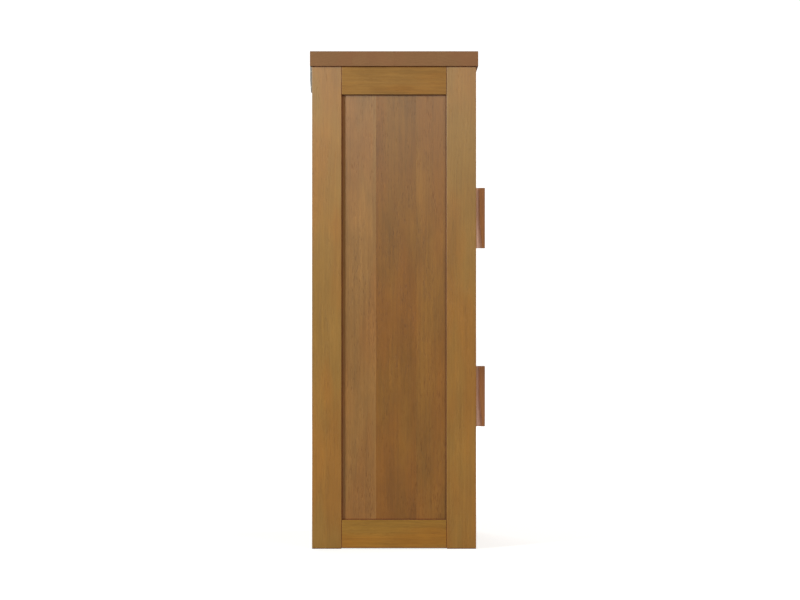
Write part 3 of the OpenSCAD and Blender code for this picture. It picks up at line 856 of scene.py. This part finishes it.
def main_block(bm: Mesh, grain: Grain) -> tuple[Vector, Vector]:
    """The box of a board without its tenons, which are thinner than the board.

    Args:
        bm: the board.
        grain: the axis that its tenons lie along.

    Returns:
        The lowest and highest corner of the main block.
    """
    low, high = extents(bm.verts)
    across = (grain.value + 1) % 3
    rim = [v.co[grain.value] for v in bm.verts if abs(v.co[across] - high[across]) < TOUCH]
    low[grain.value], high[grain.value] = min(rim), max(rim)
    return low, high


def on_block(face: bmesh.types.BMFace, low: Vector, high: Vector) -> bool:
    """Tells whether a face lies on the outside of a box.

    Args:
        face: the face.
        low: the box's lowest corner.
        high: its highest corner.

    Returns:
        True if it lies flat on one of the box's sides.
    """
    axis = max(range(3), key=lambda i: abs(face.normal[i]))
    if abs(face.normal[axis]) < SQUARE_ON:
        return False
    plane = high[axis] if face.normal[axis] > 0 else low[axis]
    return abs(face.calc_center_median()[axis] - plane) < TOUCH


def sharp_edges(bm: Mesh, degrees: float) -> list[bmesh.types.BMEdge]:
    """Finds the convex edges that turn sharply.

    Args:
        bm: the mesh.
        degrees: how far an edge has to turn.

    Returns:
        The edges, in the mesh's own order.
    """
    least = math.radians(degrees)
    return [
        edge
        for edge in bm.edges
        if len(edge.link_faces) == 2 and edge.is_convex and edge.calc_face_angle(0.0) > least
    ]


def round_over(
    bm: Mesh, edges: list[bmesh.types.BMEdge], width: float, segments: int, clamp: bool
) -> None:
    """Rounds edges over.

    Args:
        bm: the mesh.
        edges: the edges to round.
        width: how much wood is taken off each face.
        segments: how many steps round the edge.
        clamp: whether the rounding gives way where edges lie close together.
    """
    bmesh.ops.bevel(
        bm, geom=edges, offset=width, offset_type="OFFSET", segments=segments, profile=0.5, affect="EDGES",
        clamp_overlap=clamp, material=-1,
    )


def ease(bm: Mesh, low: Vector, high: Vector, width: float, segments: int = 3) -> None:
    """Takes the sharpness off a board's outer arrises.

    Args:
        bm: the board.
        low: lowest corner of its main block.
        high: highest corner of its main block.
        width: how much wood is taken off each face.
        segments: how many steps round the arris.
    """
    arrises = [
        edge
        for edge in sharp_edges(bm, degrees=80)
        if all(on_block(face, low, high) for face in edge.link_faces)
    ]
    round_over(bm, arrises, width, segments, clamp=False)


def sawn(bm: Mesh, axis: int, start: float, end: float) -> Mesh:
    """Saws one board out of a slab.

    Args:
        bm: the slab, which is left as it is.
        axis: the axis across the boards.
        start: where the board begins on that axis.
        end: where it ends.

    Returns:
        The board, closed on both sides.
    """
    board = bm.copy()
    across = Vector([float(i == axis) for i in range(3)])
    for place, keep_above in ((start, True), (end, False)):
        cut = bmesh.ops.bisect_plane(
            board, geom=[*board.verts, *board.edges, *board.faces], dist=TOUCH,
            plane_co=across * place, plane_no=across, clear_inner=keep_above, clear_outer=not keep_above,
        )
        edges = (item for item in cut["geom_cut"] if isinstance(item, bmesh.types.BMEdge))
        rim = [edge for edge in edges if edge.is_boundary]
        if rim:
            bmesh.ops.holes_fill(board, edges=rim, sides=0)
    bmesh.ops.recalc_face_normals(board, faces=board.faces)
    return board


def smooth_by_angle(bm: Mesh, limit: float = 32.0) -> None:
    """Smooths the shading across all but the sharp edges.

    Args:
        bm: the mesh.
        limit: how far a smooth edge may turn, in degrees.
    """
    for face in bm.faces:
        face.smooth = True
    for edge in bm.edges:
        edge.smooth = edge.calc_face_angle(math.pi) < math.radians(limit)


def into_piece(
    bm: Mesh, name: str, node: str, materials: Sequence[bpy.types.Material]
) -> bpy.types.Object:
    """Turns a finished mesh into a piece that stands for its CAD node.

    Args:
        bm: the mesh, which is freed.
        name: the piece's name.
        node: the CAD node that it stands for.
        materials: its materials, in the order of the faces' material numbers.

    Returns:
        The piece, riding on the node's own body.
    """
    smooth_by_angle(bm)
    mesh = bpy.data.meshes.new(name)
    bm.to_mesh(mesh)
    bm.free()
    for material in materials:
        mesh.materials.append(material)
    piece = bpy.data.objects.new(name, mesh)
    bpy.context.scene.collection.objects.link(piece)
    shading = piece.modifiers.new("even_shading", "WEIGHTED_NORMAL")
    shading.keep_sharp = True
    shading.weight = 100
    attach(piece, BODY_OF[node])
    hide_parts(node)
    LOG.info("%s: %d faces, rides on %s", name, len(mesh.polygons), BODY_OF[node])
    return piece


def make_board(node: str, finish: WoodFinish, width: float) -> bpy.types.Object:
    """Makes one solid board from its CAD node.

    Args:
        node: the CAD node.
        finish: the board's timber.
        width: how far its arrises are eased.

    Returns:
        The piece.
    """
    bm = merged_copy(node)
    ease(bm, *main_block(bm, finish.grain), width)
    return into_piece(bm, f"{node}_wood", node, [finish.material(node)])


def make_glued_panel(
    node: str, finishes: Sequence[WoodFinish], axis: int, joints: Sequence[float], width: float
) -> bpy.types.Object:
    """Makes a slab from boards glued edge to edge.

    Args:
        node: the CAD node of the whole slab.
        finishes: the timber of each board, in rising order along the axis.
        axis: the axis across the boards.
        joints: where the glue joints lie on that axis, rising.
        width: how far each board's arrises are eased.

    Returns:
        The piece, with one material to a board.
    """
    slab = merged_copy(node)
    low, high = extents(slab.verts)
    stops = [low[axis] - TOUCH * 2, *joints, high[axis] + TOUCH * 2]
    joined = bmesh.new()
    for number, (start, end) in enumerate(zip(stops, stops[1:])):
        board = sawn(slab, axis, start, end)
        ease(board, *extents(board.verts), width, segments=2)
        for face in board.faces:
            face.material_index = number
        mesh = bpy.data.meshes.new("board")
        board.to_mesh(mesh)
        board.free()
        joined.from_mesh(mesh)
        bpy.data.meshes.remove(mesh)
    slab.free()
    materials = [finish.material(f"{node}_{number}") for number, finish in enumerate(finishes)]
    return into_piece(joined, f"{node}_boards", node, materials)


def glue_lines(node: str, axis: int, shares: Iterable[float]) -> list[float]:
    """Finds where a slab's glue joints lie.

    Args:
        node: the CAD node of the slab.
        axis: the axis across its boards.
        shares: the joints' places as shares of its width, rising.

    Returns:
        The joints' places on that axis.
    """
    low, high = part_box(node)
    return [low[axis] + (high[axis] - low[axis]) * share for share in shares]


def make_hardware(node: str, finish: MetalFinish | PlasticFinish) -> bpy.types.Object:
    """Makes a bought part from its CAD node, with round surfaces shaded round."""
    return into_piece(merged_copy(node), f"{node}_part", node, [finish.material()])


def seeds(start: int, count: int) -> range:
    """A run of board numbers."""
    return range(start, start + count)


# --------------------------------------------------------------- sub-assemblies


@dataclass
class SideFrame:
    """One side: two stiles, two rails and the glued panel between them.

    Args:
        hand: which side.
        frame_cuts: numbers of the front stile, back stile, top rail and bottom rail.
        panel_cuts: numbers of the panel's boards, from the front one back.
        joint_gaps: how far the panel's glue joints lie from its back edge.
        board_tones: factor on the colour of each panel board, from the front one back.
        rail_tones: factor on the colour of the top rail and of the bottom rail.
        rail_contrast: how strongly the rails' figure shows.
        spread: how far a board's tone may stray.
        arris: how far the frame's arrises are eased.
        panel_arris: how far the panel boards' arrises are eased.
    """

    hand: Hand
    frame_cuts: Sequence[int]
    panel_cuts: Sequence[int]
    joint_gaps: tuple[float, float] = (0.190, 0.092)
    board_tones: tuple[Colour, Colour, Colour] = ((1.06, 1.11, 1.08), (0.99, 1.0, 0.8), (1.21, 1.39, 2.85))
    rail_tones: tuple[Colour, Colour] = ((0.95, 0.96, 1.52), (1.03, 1.02, 0.91))
    rail_contrast: float = 1.2
    spread: float = 0.015
    arris: float = 1.5 * MM
    panel_arris: float = 0.25 * MM

    def node(self, part: str) -> str:
        """The CAD node of one of this side's parts."""
        return f"{self.hand.value}_{part}"

    def stiles_and_rails(self) -> None:
        """Makes the four boards of the frame."""
        upright = FRAME_WOOD
        level = replace(FRAME_WOOD, contrast=self.rail_contrast)
        parts = (
            ("front_stile", upright, NEUTRAL, Grain.ALONG_Z),
            ("back_stile", upright, NEUTRAL, Grain.ALONG_Z),
            ("top_rail", level, self.rail_tones[0], Grain.ALONG_Y),
            ("bottom_rail", level, self.rail_tones[1], Grain.ALONG_Y),
        )
        for seed, (part, wood, tone, grain) in zip(self.frame_cuts, parts):
            make_board(self.node(part), replace(wood, tone=tone).cut(seed, grain, self.spread), self.arris)

    def panel(self) -> None:
        """Makes the recessed panel from its three boards."""
        back_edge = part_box(self.node("panel"))[1].y
        joints = [back_edge - gap for gap in self.joint_gaps]
        finishes = [
            replace(PANEL_WOOD, tone=tone).cut(seed, Grain.ALONG_Z, self.spread)
            for seed, tone in zip(self.panel_cuts, self.board_tones)
        ]
        make_glued_panel(self.node("panel"), finishes, ACROSS_DEPTH, joints, self.panel_arris)

    def build(self) -> None:
        """Makes the whole side."""
        self.stiles_and_rails()
        self.panel()


@dataclass
class TopBoard:
    """The thick top, glued from boards that run across the cabinet.

    Args:
        boards: how many boards.
        seed: number of its first board.
        spread: how far a board's tone may stray.
        arris: how far each board's arrises are eased.
    """

    boards: int = 4
    seed: int = 300
    spread: float = 0.02
    arris: float = 0.1875 * MM

    def build(self) -> None:
        """Makes the top."""
        shares = [number / self.boards for number in range(1, self.boards)]
        joints = glue_lines("top_board", ACROSS_DEPTH, shares)
        boards = seeds(self.seed, self.boards)
        finishes = [TOP_WOOD.cut(seed, Grain.ALONG_X, self.spread) for seed in boards]
        make_glued_panel("top_board", finishes, ACROSS_DEPTH, joints, self.arris)


@dataclass
class Carcass:
    """What ties the two sides together: rails, back, bottom, shelves and cleats.

    Args:
        arris: how far the arrises of rails and cleats are eased.
        sheet_arris: how far the arrises of the shelves' boards and the plywood are eased.
        joint_shares: where the shelves' glue joints lie, as shares of their depth.
        spread: how far the tone of a shelf's board may stray.
        rail_seed: number of the first rail.
        shelf_seed: number of the bottom board's first board.
        shelf_step: how far the next shelf's numbers lie from it.
        back_seed: number of the plywood back.
        cleat_seed: number of the first cleat.
    """

    arris: float = 0.9 * MM
    sheet_arris: float = 0.3 * MM
    joint_shares: tuple[float, float] = (0.31, 0.66)
    spread: float = 0.04
    rail_seed: int = 100
    shelf_seed: int = 110
    shelf_step: int = 10
    back_seed: int = 160
    cleat_seed: int = 161

    def rails(self) -> None:
        """Makes the rails across the front and the back."""
        front = ("front_top_rail", "front_middle_rail", "front_bottom_rail")
        back = ("back_top_rail", "back_bottom_rail")
        for seed, node in enumerate(front + back, start=self.rail_seed):
            timber = FRAME_WOOD if node in front else INSIDE_WOOD
            make_board(node, timber.cut(seed, Grain.ALONG_X), self.arris)

    def shelves(self) -> None:
        """Makes the glued bottom board and shelves."""
        for number, node in enumerate(("bottom_board", "middle_shelf", "upper_shelf", "lower_shelf")):
            boards = seeds(self.shelf_seed + self.shelf_step * number, PANEL_BOARDS)
            finishes = [INSIDE_WOOD.cut(seed, Grain.ALONG_X, self.spread) for seed in boards]
            joints = glue_lines(node, ACROSS_DEPTH, self.joint_shares)
            make_glued_panel(node, finishes, ACROSS_DEPTH, joints, self.sheet_arris)

    def back(self) -> None:
        """Makes the plywood back panel."""
        make_board("back_panel", PLYWOOD.cut(self.back_seed, Grain.ALONG_Z), self.sheet_arris)

    def cleats(self) -> None:
        """Makes the cleats under the top, with their screws and the shelf pins."""
        for seed, hand in enumerate(Hand, start=self.cleat_seed):
            make_board(f"{hand.value}_top_cleat", INSIDE_WOOD.cut(seed, Grain.ALONG_Y), self.arris)
        make_hardware("cleat_screws", BRASS)
        make_hardware("shelf_pins", ZINC)

    def build(self) -> None:
        """Makes all of it."""
        self.rails()
        self.shelves()
        self.back()
        self.cleats()


@dataclass
class Door:
    """One inset door with its panel, handle, leaves and strike plate.

    Args:
        level: which door.
        seed: number of its first board. The frame's come first, then the panel's, then the handle's.
        joint_shares: where the panel's glue joints lie, as shares of its width.
        frame_spread: how far the tone of the frame's boards and the handle may stray.
        panel_spread: how far the tone of the panel's boards may stray.
        arris: how far the arrises of the frame and the handle are eased.
        panel_arris: how far the panel boards' arrises are eased.
        groove_reach: how far the handle's finger grooves reach out from the door.
        groove_slope: how far sideways a face of a groove looks at least.
    """

    level: Level
    seed: int
    joint_shares: tuple[float, float] = (0.36, 0.7)
    frame_spread: float = 0.04
    panel_spread: float = 0.06
    arris: float = 0.9 * MM
    panel_arris: float = 0.25 * MM
    groove_reach: float = 16.5 * MM
    groove_slope: float = 0.1

    def node(self, part: str) -> str:
        """The CAD node of one of this door's parts."""
        return f"{self.level.value}_{part}"

    def frame_boards(self) -> None:
        """Makes the door's stiles and rails."""
        parts = (
            ("door_handle_stile", Grain.ALONG_Z),
            ("door_hinge_stile", Grain.ALONG_Z),
            ("door_top_rail", Grain.ALONG_X),
            ("door_bottom_rail", Grain.ALONG_X),
        )
        for seed, (part, grain) in zip(seeds(self.seed, FRAME_BOARDS), parts):
            make_board(self.node(part), FRAME_WOOD.cut(seed, grain, self.frame_spread), self.arris)

    def panel(self) -> None:
        """Makes the door's glued panel."""
        node = self.node("door_panel")
        boards = seeds(self.seed + FRAME_BOARDS, PANEL_BOARDS)
        finishes = [PANEL_WOOD.cut(seed, Grain.ALONG_Z, self.panel_spread) for seed in boards]
        joints = glue_lines(node, ACROSS_WIDTH, self.joint_shares)
        make_glued_panel(node, finishes, ACROSS_WIDTH, joints, self.panel_arris)

    def handle(self) -> None:
        """Makes the grooved handle and its screws."""
        node = self.node("handle")
        bm = merged_copy(node)
        door_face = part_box(node)[1].y
        arrises = [
            edge
            for edge in sharp_edges(bm, degrees=40)
            if all(vert.co.y < door_face - TOUCH for vert in edge.verts)
        ]
        round_over(bm, arrises, self.arris, segments=3, clamp=True)
        low, high = extents(bm.verts)
        # faces in the finger grooves get the second material, a pale painted sheen
        for face in bm.faces:
            middle = face.calc_center_median()
            sloped = low.x + TOUCH < middle.x < high.x - TOUCH and abs(face.normal.x) > self.groove_slope
            face.material_index = int(sloped and middle.y > high.y - self.groove_reach)
        seed = self.seed + FRAME_BOARDS + PANEL_BOARDS
        materials = [
            wood.cut(seed, Grain.ALONG_Z, self.frame_spread).material(name)
            for wood, name in ((HANDLE_WOOD, node), (GROOVE_PAINTED_SHEEN, f"{node}_groove"))
        ]
        into_piece(bm, f"{node}_wood", node, materials)
        make_hardware(self.node("handle_screws"), ZINC)

    def hardware(self) -> None:
        """Makes the hinge leaves, screws and strike plate that swing with the door."""
        for part in ("top_door_leaf", "bottom_door_leaf", "door_screws"):
            make_hardware(self.node(part), BRASS)
        make_hardware(self.node("strike"), ZINC)

    def build(self) -> None:
        """Makes the whole door."""
        self.frame_boards()
        self.panel()
        self.handle()
        self.hardware()


@dataclass
class FixedHardware:
    """The bought parts that stay with the carcass."""

    def hinges(self) -> None:
        """Makes the frame leaves, their screws and the hinge pins."""
        for level in Level:
            for place in ("top", "bottom"):
                make_hardware(f"{level.value}_{place}_frame_leaf", BRASS)
        make_hardware("frame_leaf_screws", BRASS)
        make_hardware("hinge_pins", BRASS)

    def catches(self) -> None:
        """Makes the magnetic catches."""
        for level in Level:
            make_hardware(f"{level.value}_catch", BROWN_PLASTIC)
        make_hardware("catch_magnets", MAGNET)
        make_hardware("catch_screws", BRASS)

    def wall_plates(self) -> None:
        """Makes the two keyhole plates and their screws."""
        for hand in Hand:
            make_hardware(f"{hand.value}_wall_plate", ZINC)
        make_hardware("wall_plate_screws", ZINC)

    def build(self) -> None:
        """Makes all of it."""
        self.hinges()
        self.catches()
        self.wall_plates()


# ---------------------------------------------------------------------- studio


@dataclass
class Studio:
    """A pale floor, soft light and a level camera square on to the left side.

    Args:
        distance: from the camera to the near side.
        field: width of the view at the near side.
        aim_forward: how far the view's centre lies in front of the origin.
        aim_up: its height.
        floor_size: half the floor's width.
        near_glow: how brightly the floor shows under the cabinet.
        far_glow: how much more brightly it shows far from it.
        glow_band: how far from the cabinet it begins to brighten, and where it is brightest.
        sky_light: how strongly the surroundings light the cabinet.
    """

    distance: float = 5.5
    field: float = 1.949
    aim_forward: float = 0.0054
    aim_up: float = 0.6063
    floor_size: float = 30.0
    near_glow: float = 0.7
    far_glow: float = 0.32
    glow_band: tuple[float, float] = (0.4, 3.0)
    sky_light: float = 0.15

    def camera(self) -> None:
        """Makes the camera."""
        data = bpy.data.cameras.new("camera")
        data.sensor_width = 36.0
        data.lens = data.sensor_width * self.distance / self.field
        data.clip_end = 100.0
        camera = bpy.data.objects.new("camera", data)
        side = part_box("left_front_stile")[0].x
        camera.location = (side - self.distance, -self.aim_forward, self.aim_up)
        camera.rotation_euler = (math.pi / 2, 0.0, -math.pi / 2)
        bpy.context.scene.collection.objects.link(camera)
        bpy.context.scene.camera = camera

    def floor(self) -> None:
        """Makes the floor."""
        bm = bmesh.new()
        bmesh.ops.create_grid(bm, x_segments=1, y_segments=1, size=self.floor_size)
        mesh = bpy.data.meshes.new("floor")
        bm.to_mesh(mesh)
        bm.free()
        graph, shader = plain_material("floor", 0.9)
        shader.inputs["Base Color"].default_value = (0.4, 0.4, 0.4, 1.0)
        shader.inputs["Specular IOR Level"].default_value = 0.0
        shader.inputs["Emission Color"].default_value = (1.0, 1.0, 1.0, 1.0)
        seen = graph.add("ShaderNodeLightPath").outputs["Is Camera Ray"]
        where = graph.add("ShaderNodeTexCoord").outputs["Object"]
        glow = graph.scaled(graph.band(graph.length(where), *self.glow_band), self.far_glow, self.near_glow)
        graph.wire(graph.math("MULTIPLY", seen, glow), shader.inputs["Emission Strength"])
        mesh.materials.append(bpy.data.materials["floor"])
        floor = bpy.data.objects.new("floor", mesh)
        bpy.context.scene.collection.objects.link(floor)

    def lamp(
        self, name: str, place: Sequence[float], power: float, size: float = 2.6, colour: Colour = NEUTRAL
    ) -> None:
        """Makes a soft box that faces the cabinet's middle.

        Args:
            name: the lamp's name.
            place: where it stands.
            power: its power in watts.
            size: its width.
            colour: its colour.
        """
        data = bpy.data.lights.new(name, "AREA")
        data.color = colour
        data.energy = power
        data.size = size
        lamp = bpy.data.objects.new(name, data)
        lamp.location = place
        towards = Vector((0.0, 0.0, self.aim_up)) - lamp.location
        lamp.rotation_euler = towards.to_track_quat("-Z", "Y").to_euler()
        bpy.context.scene.collection.objects.link(lamp)

    def light(self) -> None:
        """Makes the lamps and the white surroundings, which light less than they show."""
        self.lamp("key", place=(-3.0, 3.9, 3.0), power=84.0, size=0.9, colour=COOL)
        self.lamp("sheen", place=(-3.1, 4.0, 1.8), power=152.0, size=0.9, colour=COOL)
        self.lamp("fill", place=(-4.0, -3.2, 3.6), power=133.0, colour=WARM)
        self.lamp("front", place=(0.8, -5.0, 2.6), power=150.0)
        self.lamp("far_side", place=(4.5, 1.2, 2.8), power=140.0)
        world = bpy.data.worlds.new("surroundings")
        world.use_nodes = True
        graph = Graph(world.node_tree)
        path = graph.add("ShaderNodeLightPath")
        strength = graph.math("ADD", path.outputs["Is Camera Ray"], self.sky_light)
        sky = graph.add("ShaderNodeBackground", {"Color": (1.0, 1.0, 1.0), "Strength": strength})
        graph.add("ShaderNodeOutputWorld", {"Surface": sky.outputs[0]})
        bpy.context.scene.world = world
        bpy.context.scene.view_settings.view_transform = "Standard"

    def build(self) -> None:
        """Makes the whole studio."""
        self.floor()
        self.light()
        self.camera()


def main() -> None:
    """Builds the cabinet, sub-assembly by sub-assembly, and then the studio."""
    logging.basicConfig(level=logging.INFO, format="%(message)s")
    assemblies = [
        SideFrame(Hand.LEFT, frame_cuts=(31, 11, 54, 27), panel_cuts=(21, 85, 65)),
        SideFrame(
            Hand.RIGHT, frame_cuts=seeds(40, FRAME_BOARDS), panel_cuts=seeds(44, PANEL_BOARDS),
            joint_gaps=(0.176, 0.081), board_tones=((1.02,) * 3, (0.94,) * 3, (1.04,) * 3),
        ),
        TopBoard(),
        Carcass(),
        Door(Level.UPPER, seed=200),
        Door(Level.LOWER, seed=220, joint_shares=(0.31, 0.64)),
        FixedHardware(),
        Studio(),
    ]
    for assembly in assemblies:
        LOG.info("building %s", type(assembly).__name__)
        assembly.build()


if __name__ == "__main__":
    main()
